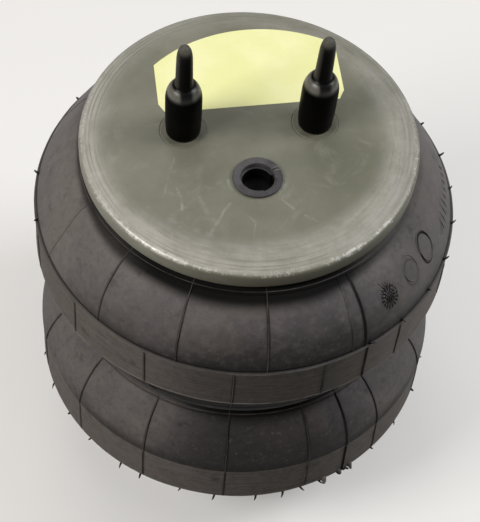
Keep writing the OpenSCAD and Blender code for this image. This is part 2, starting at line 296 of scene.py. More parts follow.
def platePaint():
    finish = Finish("platePaint", specularIorLevel=0.45)
    at = finish.coords()
    x, y, z = finish.parts(at)
    radius = finish.length(x, y)
    depth = midHeight - (z - midHeight).maths("ABSOLUTE")  # from the nearer outer face
    outside = 1 - finish.fade(depth, 7, 9)
    leftSide = 1 - finish.fade(x, *plate["leftSide"])  # handled most on this side
    farLeft = 1 - finish.fade(x, *plate["farLeft"])
    rightSide = finish.fade(x, *plate["rightSide"])
    front = finish.fade(0 - y, *plate["front"])
    mottle = finish.noise(at, 14, 6, 0.6)
    speckle = finish.noise(at, 420, 3)
    colour = finish.mix(finish.fade(mottle, 0.35, 0.68), plate["olive"], plate["faded"])
    haze = finish.noise(at, 32, 5, 0.65, 1.2)
    colour = finish.mix(finish.fade(haze, 0.52, 0.78) * 0.22, colour, plate["dust"])
    # pale streaks worn into the shoulder, mostly on the near side
    angle = finish.maths("ARCTAN2", y, x)
    rubbed = finish.noise(finish.join(angle * 3.6, radius * 0.4, 0.0), 1, 6, 0.7) * 0.5
    rubbed = rubbed + finish.noise(at, 75, 6, 0.7) * 0.5
    band = finish.fade(radius + rightSide * 4 - leftSide * 4 + front * 6, 88, 104)
    band = band * outside * (1 - finish.fade(y, 10, 95) * 0.5)
    streaks = 0.12 + finish.fade(rubbed, 0.3, 0.72) * 0.5 + rightSide * 0.1
    streaks = streaks + leftSide * finish.fade(radius, 99, 106) * 0.25
    colour = finish.mix(band * streaks * (1 - finish.fade(depth, 2.6, 4.8)), colour, plate["dust"])
    # painted light on the upright wall at the far left, in the pale dust colour
    paintedWallLight = farLeft * farLeft * finish.fade(radius, 112.5, 113.5)
    colour = finish.mix(paintedWallLight * 0.17, colour, plate["dust"])
    # scratches on the upper panel
    wander = (finish.noise(at, 45, 3, 0.5) - 0.5) * 8
    marks = [finish.stroke(x + wander, y - wander * 0.6, (x0, y0), (x1, y1), width * 1.4) * strength
             for x0, y0, x1, y1, width, strength in plate["scratches"]]
    broken = finish.fade(finish.noise(at, 170, 5, 0.7), 0.34, 0.66)
    onPanel = finish.fade(z, fullHeight - 1, fullHeight - 0.5)
    scratches = marks[0].most(*marks[1:]) * broken * 0.52 * onPanel
    colour = finish.mix(scratches, colour, plate["scuff"])
    # rolling lines on the shoulder
    wobbly = radius + (finish.noise(at, 20, 2) - 0.5) * 0.4
    lines = sum(finish.line(wobbly, middle, width) * strength
                for middle, width, strength in plate["rollLines"])
    lines = lines * finish.fade(finish.noise(at, 26, 3), 0.38, 0.62) * outside * (1 - rightSide * 0.5)
    colour = finish.mix(lines * 0.45, colour, plate["groove"])
    # painted shade on the upright wall, lighter at the far left and on the right, and paint worn off the
    # corner above it
    shaded = (0.88 - farLeft * 0.88) * (1 - finish.fade(x, 55, 100) * 0.8)
    colour = finish.mix(finish.fade(depth, 3.0, 6.0) * shaded, colour, plate["shade"])
    corner = finish.fade(radius, 110.0, 111.6) * (1 - finish.fade(depth, 4.2, 5.4))
    fleck = finish.noise(at, 380, 5, 0.75) + (finish.noise(at, 30, 3) - 0.5) * 0.8
    ragged = radius + (finish.noise(at, 60, 3) - 0.5) * 0.8
    edge = finish.line(ragged, plate["wornRadius"], plate["wornWidth"])
    worn = corner * finish.fade(fleck + farLeft * 0.08, 0.52, 0.66) * 0.9
    worn = worn.most(edge * finish.fade(fleck + farLeft * 0.16, 0.44, 0.64) * 0.9)
    worn = worn * outside * (1 - finish.fade(y, 20, 90) * 0.7)
    colour = finish.mix(worn * 0.85, colour, plate["bare"])
    # painted shade in a ring round the foot of each cap, and fine specks
    capShade = sum(finish.line(finish.length(x - cx, y - cy), plate["capShadeRadius"], plate["capShadeWidth"]) * 0.55
                for cx, cy in plate["studs"])
    colour = finish.mix(capShade * outside, colour, plate["capShade"])
    colour = finish.mix(finish.fade(speckle, 0.62, 0.75) * 0.2, colour, plate["speck"])
    rough = 0.40 + mottle * 0.16 + scratches * 0.1 - worn * 0.08
    finish.set(baseColor=colour, roughness=rough, metallic=worn * 0.35)
    peel = finish.bump(finish.noise(at, 700, 3), 0.05, 0.5)
    grooves = 1 - scratches * 0.5 - lines * 0.6 - worn * finish.noise(at, 240, 4)
    finish.set(normal=finish.bump(grooves, 0.16, 0.8, peel))
    return finish


def pressedPlate(holes):  # drawn as the lower plate, with a pressed ring round each stud hole
    p = plate
    cornerRadius = p["radius"] - p["corner"]
    curlMiddle = (p["radius"] - p["curl"], p["rim"] - p["curl"])
    cornerMiddle = (cornerRadius, p["drop"] + p["corner"])
    third, step = (cornerRadius - panelRadius) / 3, p["rollStep"]
    slope = (p["drop"] - 2 * step) / 3
    rolled = [(panelRadius, 0), (panelRadius + third, slope), (panelRadius + third + step, slope + step),
              (panelRadius + 2 * third, 2 * slope + step),
              (panelRadius + 2 * third + step, 2 * slope + 2 * step), (cornerRadius, p["drop"])]
    outside = eased(eased(rolled, 0.45), 0.15)[:-1]
    outside += arc(cornerMiddle, p["corner"], -90, 0, 14) + arc(curlMiddle, p["curl"], 0, 90, 12)
    lipEdge = p["radius"] - p["curlReach"]
    inside = [(lipEdge, p["rim"]), (lipEdge, p["rim"] - p["sheet"])]
    inside += arc(curlMiddle, p["curl"] - p["sheet"], 90, 0, 5)
    inside += arc(cornerMiddle, p["corner"] - p["sheet"], 0, -90, 5)
    inside += [(r, z + p["sheet"]) for r, z in rolled[-2::-1]]
    shell = Shell().spin([outside + inside] * p["turnSteps"])
    ringEdge = p["ringRadius"] + p["ringWidth"] / 2
    ringed = [(x, y, ringEdge if r == p["studHole"] else r) for x, y, r in holes]
    shell.flat(0, panelRadius, ringed, p["turnSteps"])
    shell.flat(p["sheet"], panelRadius, holes, p["turnSteps"])
    for x, y, radius in holes:
        wall = [(radius, 0), (radius, p["sheet"])]
        if radius == p["studHole"]:
            ring = arc((p["ringRadius"], 0), p["ringWidth"] / 2, 0, 180, 8)
            wall = [(r, z * 0.5) for r, z in ring] + wall
        shell.spin([wall] * (p["turnSteps"] // 4), (x, y))
    return shell


paint = platePaint()
studHoles = [(x, y, plate["studHole"]) for x, y in plate["studs"]]
topPlate = pressedPlate(studHoles + [(*plate["port"], plate["portHole"])]).stoodOnTop()
topPlate.make("upperPlate", paint, "top", "plate_paint", ["upper_bead_plate"])
nutHoles = [(x, y, plate["nutHole"]) for x, y in plate["nuts"]]
pressedPlate(nutHoles).make("lowerPlate", paint, "base", "plate_paint", ["lower_bead_plate"])


# rubber bellows: one skin for each convolution, with moulded ribs, lips and vent whiskers

bellows = {
    "crest": 146.5, "belt": 37.4, "beltStep": 1.2, "crestPitch": 135.4, "wall": 6.5, "neckRadius": 112,
    "neckHeight": 19.5, "groove": 114, "waistReach": 4, "shoulderBow": 2.7, "waistBow": 6.4,
    "turnSteps": 480, "step": 1.3, "fineStep": 0.3, "lipAt": 3.0, "lipHeight": 1.0, "lump": 0.28,
    "waistLip": 7.3, "collarGap": 0.2, "collarLap": 2.5, "ribWidth": 1.5, "ribHeight": 0.9, "ribGap": 0.4,
    "nearBulge": 6.4, "waistBulge": 2.5, "turnIn": 3, "leftSwell": 1.5, "swellAt": 15, "swellWidth": 12,
    "markStretch": 0.72, "markWidth": 1.1, "nearSide": (50, 105), "leftSide": (-125, -95),
    "cool": (0.082, 0.075, 0.079), "warm": (0.122, 0.109, 0.102), "brown": (0.112, 0.097, 0.085),
    "dull": (0.056, 0.049, 0.043), "dark": (0.023, 0.0205, 0.0205), "bloomAndLight": (0.22, 0.20, 0.185),
    "soot": (0.0025, 0.0023, 0.0021),
}


def bellowsRubber():
    finish = Finish("bellowsRubber", specularIorLevel=0.11)
    at = finish.coords()
    x, y, z = finish.parts(at)
    radius = finish.length(x, y)
    depth = midHeight - (z - midHeight).maths("ABSOLUTE")  # from the nearer plate
    angle = finish.maths("ARCTAN2", y, x) * (180 / math.pi)
    nearSide = finish.fade(0 - y, *bellows["nearSide"])
    leftSide = 1 - finish.fade(x, *bellows["leftSide"])
    # the sides that get painted light
    litSides = finish.fade(x, 35, 115).most(finish.fade(0 - x, 5, 90))
    centre = finish.fade(0 - y - x.maths("ABSOLUTE") * 0.9, 40, 110)
    upper = finish.fade(z, midHeight - 1, midHeight)
    cloud = finish.noise(at, 13, 5, 0.6, 0.8)
    patches = finish.noise(at, 34, 6, 0.65, 0.5)
    flecks = finish.noise(at, 300, 4, 0.6)
    grain = finish.noise(at, 140, 6, 0.75)
    # pale bloom and painted light where the rubber faces up and on its sides, painted shade where it stands
    # upright
    dustAndTopLight = finish.fade(finish.facing(2) + litSides * 0.26 + (patches - 0.5) * 0.3, 0.08, 0.78)
    pale = finish.mix(finish.fade(cloud, 0.38, 0.64), bellows["cool"], bellows["warm"])
    colour = finish.mix(dustAndTopLight, bellows["dark"], pale)
    streaks = finish.noise(finish.join(angle * 0.14, depth * 1.1, cloud), 1, 5, 0.65)
    belt = finish.mix(finish.fade(streaks, 0.36, 0.6), bellows["dull"], bellows["brown"])
    onBelt = finish.fade(depth, footTop, footTop + 1.2)
    onBelt = onBelt * (1 - finish.fade(depth, waistFoot - 0.3, waistFoot + 0.6))
    colour = finish.mix(onBelt, colour, belt)
    # painted shadow of the upper convolution, on the near side of the lower one
    upperShadow = centre * finish.fade(depth, waistFoot, waistFoot + 8) * (1 - upper)
    coats = [  # share and tone, each over the one before
        (finish.fade(patches, 0.54, 0.8) * 0.26 * dustAndTopLight, "bloomAndLight"),
        # painted light on the sides, in the bloom colour
        (litSides * 0.25 * dustAndTopLight.most(onBelt), "bloomAndLight"),
        (finish.fade(grain, 0.46, 0.66) * 0.17, "bloomAndLight"),
        ((1 - upper) * onBelt * 0.1, "bloomAndLight"),
        # painted shade on the near face of the upper belt
        (upper * onBelt * centre * 0.4, "dark"),
        (upper * onBelt * finish.fade(x, 20, 90) * 0.2, "bloomAndLight"),
        (upperShadow * 0.7, "dark"),  # painted shadow of the upper convolution on the near side of the lower one
        (finish.fade(flecks, 0.56, 0.74) * (0.28 - upper * 0.06), "bloomAndLight"),
        (finish.fade(finish.noise(at, 210, 5, 0.7), 0.46, 0.72) * (0.26 - upper * 0.08), "soot"),
        (finish.fade(finish.noise(at, 75, 5, 0.7), 0.55, 0.76) * 0.5, "soot"),
    ]
    for share, tone in coats:
        colour = finish.mix(share, colour, bellows[tone])
    # painted shade, partly dirt, beside the ribs and along the parting lines, and painted shadow in the neck
    # under the plate rim, in the waist and under the belts
    high = finish.fade(z, fullHeight - footTop - 1, fullHeight - footTop)
    phase = ribs["first"] + high * (ribs["upperShoulderFirst"] - ribs["first"])
    halfPitch = ribs["pitch"] / 2
    turned = (angle - phase + 360 + halfPitch).maths("MODULO", ribs["pitch"])  # half a pitch at each rib
    ribbed = 1.0
    for k in ribs["leftOut"]:
        ribbed = ribbed - finish.line(angle, ribs["upperShoulderFirst"] + ribs["pitch"] * k, 1.6) * high
    ribbed = ribbed * (1 - leftSide * high * 0.75)
    # painted shadow in the neck under the plate rim, wider on the near side
    skirt = finish.fade(0 - y, 15, 90) * (1 - finish.fade(x, 20, 80))
    skirt = skirt * (1 - finish.fade(0 - x, 30, 80) * 0.45)
    neck = 1 - finish.fade(radius + leftSide * 3.5, 116 + skirt * 3, 121 + skirt * 7)
    neck = neck * (1 - finish.fade(x, 40, 95) * 0.75 - finish.fade(0 - x, 70, 100) * 0.2)
    # painted shade in the waist, wider on the near side
    waist = (1 - finish.fade(radius - centre * 5, 117, 127)) * finish.fade(depth, 110, 120)
    above = finish.fade(depth, footTop - 12, footTop - 2) * upper
    above = above * (1 - finish.fade(depth, footTop - 0.2, footTop + 0.5))
    below = finish.fade(depth, waistFoot - 0.2, waistFoot + 0.5) * (1 - upper)
    below = below * (1 - finish.fade(depth, waistFoot + 2, waistFoot + 12))
    paintedShadeAndDirt = (finish.line(turned, halfPitch, 0.65) * 0.75 * ribbed).most(
        finish.line(angle, ribs["upperSeams"][0], 0.8) * high,
        finish.line(angle, ribs["seam"], 0.7) * (1 - high),
        finish.line(depth, footTop - 0.9, 2.4) * 0.9,
        neck * (1 - finish.fade(depth, 50, 60)),
        waist,
        (above + below) * nearSide * 0.45,  # painted shade at the foot of each wall
        # painted shadow on the near side of the upper wall, under its belt
        finish.fade(depth, waistFoot + 1, waistFoot + 4) * upper * nearSide * 0.85,
    )
    # painted shadow round the raised ring marks, and in the dial
    for degrees, share, size, strength in (*ringMarks, (dial["degrees"], dial["share"], 0, 0.9)):
        r, low, _, _ = skinSpot(footLength * share)
        across = (angle - degrees) * (math.radians(r) / bellows["markStretch"])
        upwards = (depth - low) / (skinSpot(footLength * share + 1)[1] - low)
        apart = finish.length(across, upwards)
        if size:
            spot = finish.line(apart, size, 1.5)
        else:  # painted shade in the gaps between the ticks
            gaps = (finish.maths("ARCTAN2", upwards, across) * dial["ticks"]).maths("COSINE")
            spot = 0.25 + finish.fade(gaps, -0.6, 0.3) * 0.75
            spot = spot * (1 - finish.fade(apart, dial["outside"] - 1.5, dial["outside"] + 0.5))
        paintedShadeAndDirt = paintedShadeAndDirt.most(spot * strength * high)
    colour = finish.mix(paintedShadeAndDirt * 0.985, colour, bellows["soot"])
    # rubbed tops of the ribs, lips and belt edges, with a painted highlight along them
    rubbed = (finish.line(turned, halfPitch, 0.17) * ribbed * 0.4).most(
        finish.line(depth, footTop + 1.0, 0.8) * 0.3,
        finish.line(depth, waistFoot - 0.3, 0.9) * 0.7,
        finish.line(radius, lipRadius, 0.6) * 0.35,
        finish.line(radius, waistLipRadius, 0.7) * finish.fade(depth, 130, 140) * 0.35,
    )
    colour = finish.mix(rubbed * finish.fade(patches, 0.3, 0.6), colour, bellows["bloomAndLight"])
    rough = 0.42 + cloud * 0.14 + flecks * 0.08 + onBelt * 0.15 + paintedShadeAndDirt * 0.25
    finish.set(baseColor=colour, roughness=rough)
    ripple = finish.bump(patches + streaks * onBelt * 0.5, 0.9, 0.3)
    finish.set(normal=finish.bump(finish.noise(at, 1300, 3), 0.08, 0.5, ripple))
    return finish


class Bow:  # arc from one point to a higher one, bowed outwards
    def __init__(self, start, end, bow):
        start, end = Vector(start), Vector(end)
        chord = end - start
        self.radius = (chord.length_squared / 4 + bow * bow) / (2 * bow)
        inwards = Vector((-chord.y, chord.x)).normalized()
        self.middle = (start + end) / 2 + inwards * (self.radius - bow)
        self.first = self.turnTo(start)
        self.length = self.radius * (self.turnTo(end) - self.first)

    def turnTo(self, point):
        return math.atan2(point[1] - self.middle.y, point[0] - self.middle.x)

    def spot(self, along):
        turn = self.first + along / self.radius
        c, s = math.cos(turn), math.sin(turn)
        return self.middle.x + self.radius * c, self.middle.y + self.radius * s, c, s

    def heightAt(self, radius, inset, upwards):  # where the wall's face has a given radius
        return self.middle.y + upwards * math.sqrt((self.radius - inset) ** 2 - (radius - self.middle.x) ** 2)

    def lining(self, start, end, steps):  # points along the inner face between two heights
        reach = self.radius - bellows["wall"]
        turns = [math.asin((z - self.middle.y) / reach) for z in (start, end)]
        return arc(self.middle, reach, math.degrees(turns[0]), math.degrees(turns[1]), steps)


crestHeight = midHeight - bellows["crestPitch"] / 2
footTop, waistFoot = crestHeight - bellows["belt"] / 2, crestHeight + bellows["belt"] / 2
shoulder = Bow((bellows["neckRadius"], bellows["neckHeight"]),
               (bellows["crest"] - bellows["beltStep"], footTop), bellows["shoulderBow"])
tuck = Bow((bellows["crest"], waistFoot), (bellows["groove"], midHeight), bellows["waistBow"])
waistEnd = bellows["groove"] + bellows["waistReach"]
footLength = shoulder.length
beltEnd = footLength + bellows["belt"]
tuckEnd = (waistEnd, tuck.heightAt(waistEnd, 0, 1))
skinLength = beltEnd + tuck.radius * (tuck.turnTo(tuckEnd) - tuck.first)
lipRadius = shoulder.spot(bellows["lipAt"])[0]
cutAt = skinLength - bellows["waistLip"]  # the wall beyond this lip moves with the waist
waistLipRadius = tuck.spot(cutAt - beltEnd)[0]


def skinSpot(along):  # radius, height and outward direction at a distance from the neck
    if along < footLength:
        return shoulder.spot(along)
    if along < beltEnd:
        proud = smooth(along, footLength, footLength + 0.9)
        return bellows["crest"] - bellows["beltStep"] * (1 - proud), footTop + along - footLength, 1, 0
    return tuck.spot(along - beltEnd)


class Skin:  # outer face of one convolution, drawn as the lower one
    def __init__(self, seed, footRidge, waistRidge, bulge):
        self.seed, self.bulge, self.shell = seed, bulge, Shell()
        self.lines = [  # place along the skin, height and half width of the moulded lines
            (bellows["lipAt"], bellows["lipHeight"], 0.9), (footLength - 0.7, -0.4, 0.6),
            (footLength + 0.9, footRidge, 0.7), (beltEnd, waistRidge, 0.6), (cutAt, 0.8, 0.8),
        ]

    def relief(self, angle, along):
        rise = sum(height * math.exp(-((along - place) / width) ** 2) for place, height, width in self.lines)
        near = smooth(-math.sin(angle), 0.25, 0.8)  # the slack rubber bulges most on the near side
        if along < footLength:
            rise += self.bulge[0] * near * math.sin(math.pi * along / footLength)
            if self.bulge[0]:
                swell = math.exp(-((along - bellows["swellAt"]) / bellows["swellWidth"]) ** 2)
                swell *= smooth(along, 0, bellows["swellWidth"])
                rise += bellows["leftSwell"] * swell * smooth(-math.cos(angle), 0.5, 0.95)
        elif along > beltEnd:
            share = (along - beltEnd) / (skinLength - beltEnd)
            rise += self.bulge[1] * near * math.sin(math.pi * share)
            if self.bulge[0]:  # the upper wall turns in sharply under its belt
                turned = smooth(along, beltEnd + 0.5, beltEnd + 3.2) * (1 - smooth(share, 0.4, 0.85))
                rise -= bellows["turnIn"] * near * turned
        spot = Vector((2.6 * math.cos(angle), 2.6 * math.sin(angle), along * 0.028 + self.seed))
        held = smooth(min(along, skinLength - along), 1, 9)
        return rise + held * bellows["lump"] * (noise.noise(spot) + 0.5 * noise.noise(spot * 3.1))

    def point(self, angle, along):
        r, z, outR, outZ = skinSpot(along)
        rise = self.relief(angle, along)
        reach = r + rise * outR
        return Vector((reach * math.cos(angle), reach * math.sin(angle), z + rise * outZ))

    def normal(self, angle, along):
        _, _, outR, outZ = skinSpot(along)
        return Vector((outR * math.cos(angle), outR * math.sin(angle), outZ))

    def turn(self, shell, start, end, lining):  # skin between two places, closed by its lining
        along, places = start, []
        while along < end:
            places.append(along)
            near = min(abs(along - place) for place, _, _ in self.lines)
            along += bellows["fineStep"] if near < 2.2 else bellows["step"]
        places.append(end)
        rings = []
        for k in range(bellows["turnSteps"]):
            angle = math.tau * k / bellows["turnSteps"]
            ring = [self.point(angle, place) for place in places]
            ring += [(r * math.cos(angle), r * math.sin(angle), z) for r, z in lining]
            rings.append(ring)
        shell.rings(rings, True, True)

    def wall(self):
        inFoot = shoulder.heightAt(bellows["neckRadius"], bellows["wall"], -1)
        inCut = tuck.heightAt(waistLipRadius + bellows["collarLap"], bellows["wall"], 1)
        lining = tuck.lining(inCut, waistFoot, 8) + shoulder.lining(footTop, inFoot, 8)
        self.turn(self.shell, 0.0, cutAt - bellows["collarGap"], lining)

    def collar(self):
        shell = Shell()
        ends = [tuck.heightAt(r, bellows["wall"], 1) for r in (waistEnd, waistLipRadius)]
        self.turn(shell, cutAt, skinLength, tuck.lining(*ends, 3))
        return shell

    def ridge(self, path, width, height):  # raised line along (angle, along) points
        spots = [self.point(*p) for p in path]
        rings = []
        for i, (angle, along) in enumerate(path):
            ahead = (spots[min(i + 1, len(spots) - 1)] - spots[max(i - 1, 0)]).normalized()
            out = self.normal(angle, along)
            side = out.cross(ahead).normalized()
            ends = min(1, (0.3 + i) / 1.5, (0.3 + len(path) - 1 - i) / 1.5)
            rings.append([spots[i] + side * width / 2 * s + out * height * h * (ends if h > 0 else 1)
                          for s, h in ((-1, -0.3), (-0.6, 0.72), (0, 1), (0.6, 0.72), (1, -0.3))])
        self.shell.rings(rings, True, False, True)

    def rib(self, degrees, start, end, height=1.0):
        steps = max(4, round((end - start) / 2))
        path = []
        for i in range(steps + 1):
            along = start + (end - start) * i / steps
            sway = 0.25 * noise.noise(Vector((degrees * 0.7, along * 0.05, self.seed)))
            path.append((math.radians(degrees + sway), along))
        self.ridge(path, bellows["ribWidth"], bellows["ribHeight"] * height)

    def round(self, degrees, along, radius, height):  # plain moulded ring
        path = []
        for i in range(37):
            turn = math.tau * i / 36
            r = skinSpot(along + radius * math.sin(turn))[0]
            wide = radius * math.cos(turn) * bellows["markStretch"] / r
            path.append((math.radians(degrees) + wide, along + radius * math.sin(turn)))
        self.ridge(path, bellows["markWidth"], height)

    def whisker(self, degrees, along, length, thick, lean):
        angle = math.radians(degrees)
        out = self.normal(angle, along)
        side = Vector((-math.sin(angle), math.cos(angle), 0))
        up = out.cross(side)
        rings = []
        for i, share in enumerate((-0.15, 0.0, 0.4, 0.75, 1.0)):
            bent = (side * lean - up * 0.25) * length * share * abs(share)
            middle = self.point(angle, along) + out * length * share + bent
            size = thick * (1.25, 1.0, 0.75, 0.65, 0.3)[i]
            rings.append([middle + (side * math.cos(t) + up * math.sin(t)) * size
                          for t in [math.tau * j / 7 for j in range(7)]])
        self.shell.rings(rings, True, False, True)


ribs = {
    "count": 15, "first": -99.6, "upperShoulderFirst": -91.2, "pitch": 24, "seam": -63.2,
    "upperSeams": (-63.7, -67.6),
    "leftOut": (1, 2, 3, 4, 11), "shallow": (9, 10, 12),  # on the upper shoulder
}
ringMarks = ((-33.6, 0.47, 11.2, 1), (-43.6, 0.455, 9.4, 0.4))  # degrees, share of the shoulder, radius, painted shade and dirt
dial = {"degrees": -54, "share": 0.47, "ticks": 16, "inside": 2, "outside": 9.9, "width": 1.3, "height": 1.3}
tickRow = {
    "count": 9, "first": -20, "pitch": 2.6, "longOnes": 4,
    "long": (0.6, 0.7, 0.8), "short": (0.66, 0.72, 0.78),  # shares of the shoulder
}
whiskers = {
    "lowerFoot": (-177, -165.5, -153.8, -143.2, -131.2, -124.5, -112, -102, -90, -82, -76.8, -71, -51.5,
                  -39.5, -27, -15, -3, 9, 21, 33, 45, 60, 76, 91, 108, 124, 140, 155, 169),
    "upperRidge": (-176, -62.2, -50.6, -38.2, -27, -14.5, -2.6, 9.3, 21.4, 34, 47, 62, 80, 97, 118, 139, 168),
    "thick": 0.55, "flash": 12, "flashAt": -62, "farFlash": 4, "farFlashAt": -70,
}
chance = random.Random(7)


def ventRow(skin, places, length, thick, lean):  # whiskers along the foot of the belt
    for angle in places:
        skin.whisker(angle, footLength - 0.4, chance.uniform(*length),
                     whiskers["thick"] * chance.uniform(*thick), chance.uniform(-lean, lean))


upperSkin = Skin(8.0, 0.2, 0.45, (bellows["nearBulge"], 0))
rubber = bellowsRubber()
lowerSkin = Skin(3.0, 0.4, 0.3, (0, bellows["waistBulge"]))
ribEnd = cutAt - bellows["ribGap"]
lowerSkin.wall()
for k in range(ribs["count"]):
    angle = ribs["first"] + ribs["pitch"] * k
    lowerSkin.rib(angle, bellows["lipAt"], footLength)
    lowerSkin.rib(angle + chance.uniform(-0.3, 0.3), footLength + 0.3, beltEnd - 0.3, 0.8)
    lowerSkin.rib(angle, beltEnd, ribEnd, 1.1)
lowerSkin.rib(ribs["seam"], bellows["lipAt"], ribEnd, 1.2)
ventRow(lowerSkin, whiskers["lowerFoot"], (3.4, 6), (1.6, 2.5), 0.7)
flash = [(whiskers["flashAt"], 2.4)] * whiskers["flash"]
flash += [(whiskers["farFlashAt"], 0.7)] * whiskers["farFlash"]
for place, spread in flash:  # lumps beside the seam
    lowerSkin.whisker(place + chance.uniform(-spread, spread), footLength + chance.uniform(-2.5, 2),
                      chance.uniform(2, 4.2), chance.uniform(1.4, 2.8), chance.uniform(-0.5, 0.5))
lowerPiece = lowerSkin.shell.make("lowerConvolution", rubber, "base", "bellows_rubber",
                                  ["lower_convolution"], 60)

upperSkin.wall()
for k in range(ribs["count"]):
    angle = ribs["first"] + ribs["pitch"] * k
    upperSkin.rib(angle, footLength + 0.3, beltEnd - 0.3, 0.8)
    upperSkin.rib(angle, beltEnd, ribEnd)
    if k not in ribs["leftOut"]:
        angle = ribs["upperShoulderFirst"] + ribs["pitch"] * k
        upperSkin.rib(angle, bellows["lipAt"], footLength, 0.4 if k in ribs["shallow"] else 1)
for angle, height in zip(ribs["upperSeams"], (1.3, 0.8)):
    upperSkin.rib(angle, bellows["lipAt"], footLength, height)
upperSkin.rib(ribs["seam"], footLength, beltEnd, 1.1)
ventRow(upperSkin, whiskers["upperRidge"], (2.8, 5.4), (1.3, 2.2), 0.6)
# two plain ring marks, a dial of plain ticks and a row of plain ticks
for degrees, share, radius, paintedShadeAndDirt in ringMarks:
    upperSkin.round(degrees, footLength * share, radius, 0.4 + 0.5 * paintedShadeAndDirt)
dialAlong = footLength * dial["share"]
dialScale = bellows["markStretch"] / skinSpot(dialAlong)[0]
for k in range(dial["ticks"]):
    turn = math.tau * (k + 0.5) / dial["ticks"]
    outside = dial["outside"] * chance.uniform(0.75, 1.05)
    path = [(math.radians(dial["degrees"]) + r * math.cos(turn) * dialScale, dialAlong + r * math.sin(turn))
            for r in (dial["inside"], (dial["inside"] + outside) / 2, outside)]
    upperSkin.ridge(path, dial["width"], dial["height"])
for k in range(tickRow["count"]):
    angle = math.radians(tickRow["first"] + tickRow["pitch"] * k)
    shares = tickRow["long"] if k < tickRow["longOnes"] else tickRow["short"]
    upperSkin.ridge([(angle, footLength * share) for share in shares], bellows["markWidth"], 1.0)
upperPiece = upperSkin.shell.stoodOnTop().make("upperConvolution", rubber, "top", "bellows_rubber",
                                               ["upper_convolution"], 60)

collars, upperCollar = lowerSkin.collar(), upperSkin.collar().stoodOnTop()
collars.add(upperCollar.points, upperCollar.faces)
collars.make("waistCollars", rubber, "girdle", "bellows_rubber", sharp=60)

# the joint's stroke, the share of each skin's height it leaves, and the places of the two necks; each skin
# gets a mesh of its own
stroke = max(abs(limit) for limit in frame["joints"][0]["range_m"]) / mm
held = 1 - stroke / (skinSpot(cutAt)[1] - bellows["neckHeight"])
lowPlace, highPlace = (0, 0, bellows["neckHeight"] * mm), (0, 0, (fullHeight - bellows["neckHeight"]) * mm)
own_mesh(lowerPiece)
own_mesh(upperPiece)


# stud caps

cap = {
    "radius": 12.2, "foot": 11.4, "body": 32, "dome": 14, "height": 82, "noseBase": 5.8, "noseTip": 5.4,
    "bore": 9.825, "roof": 31, "noseBore": 3.2, "seat": 0.1, "turnSteps": 96,
    "bendStart": 6, "lean": {"left": -0.8, "right": 2.2},  # the soft noses are bent a little
    # share of the nose's radius, and depth under its tip
    "rounding": ((1, 15), (0.97, 10), (0.9, 6.5), (0.79, 3.8), (0.6, 1.6), (0.34, 0.4)),
    "black": (0.0009, 0.0008, 0.0008), "worn": (0.0028, 0.0026, 0.0026), "grey": (0.12, 0.115, 0.095),
}


def capVinyl():
    finish = Finish("capVinyl", specularIorLevel=0.035, coatRoughness=0.34, coatIor=2.0)
    at = finish.coords()
    z = finish.parts(at)[2]
    cloud = finish.noise(at, 60, 5, 0.6)
    smear = finish.noise(at, 190, 4, 0.6, 1.0)
    colour = finish.mix(finish.fade(cloud, 0.45, 0.75), cap["black"], cap["worn"])
    level = z - (fullHeight + cap["body"])  # above the foot of the dome
    polished = finish.fade(level, 5, 11) * (1 - finish.fade(level, 9, 15) * 0.94)
    sideways, upwards = finish.facing(0), finish.facing(2)
    # painted highlights on the shoulders, the sides of the nose and the tip
    paintedHighlight = finish.fade(0 - sideways, 0.18, 0.42).most(finish.fade(sideways, 0.3, 0.55) * 0.55)
    paintedHighlight = paintedHighlight * finish.fade(upwards, 0.2, 0.42) * (0.95 + smear * 0.6)
    paintedHighlight = paintedHighlight * (1 - finish.fade(level, 12.5, 14))
    sheen = finish.fade(sideways.maths("ABSOLUTE"), 0.5, 0.95) * finish.fade(level, 14, 16) * 0.4
    top = fullHeight + cap["height"]
    tip = finish.fade(z, top - 9, top - 3) * finish.fade(upwards, 0.05, 0.45) * 0.75
    colour = finish.mix(paintedHighlight.most(tip, sheen), colour, cap["grey"])
    finish.set(baseColor=colour, roughness=0.3 + smear * 0.16, coatWeight=polished * (0.5 + cloud * 0.3))
    finish.set(normal=finish.bump(finish.noise(at, 120, 3), 0.25, 0.5))
    return finish


def capShell(x, y, lean):
    c = cap
    swell, foot, tip = c["radius"] - c["noseBase"], c["body"] + c["dome"], c["height"]
    outside = [(c["bore"], 0.5), (c["bore"] + 0.4, 0), (c["foot"] - 0.5, 0), (c["foot"], 0.7),
               (c["foot"] + 0.35, 4), (c["radius"] - 0.15, 11), (c["radius"], 18),
               (c["radius"], c["body"] - 4)]
    outside += [(c["noseBase"] + swell * math.cos(t), c["body"] + c["dome"] * math.sin(t))
                for t in [math.radians(90 * i / 16) for i in range(14)]]
    outside += [(c["noseBase"] + wide, foot + up) for wide, up in ((0.55, 0.2), (0.2, 1.2), (0, 3))]
    outside += [(c["noseTip"] * share, tip - down) for share, down in c["rounding"]] + [(0, tip)]
    inside = [(0, tip - 9), (c["noseBore"], tip - 12), (c["noseBore"], c["roof"]), (c["bore"], c["roof"])]
    bendable = outside + inside[:2]  # the bore stays straight
    bends = [lean * max(0, (z - c["bendStart"]) / (tip - c["bendStart"])) for r, z in bendable] + [0, 0]
    shell = Shell().spin([outside + inside] * c["turnSteps"], (x, y), fullHeight + c["seat"], True)
    shell.points = [(px + bends[i % len(bends)], py, pz) for i, (px, py, pz) in enumerate(shell.points)]
    return shell


vinyl = capVinyl()
for side, (x, y) in zip(("left", "right"), plate["studs"]):
    shell = capShell(x, y, cap["lean"][side])
    shell.make(side + "StudCap", vinyl, side + "_cap", "cap_vinyl", [side + "_stud_cap"], 50)


# pull plug in the air port

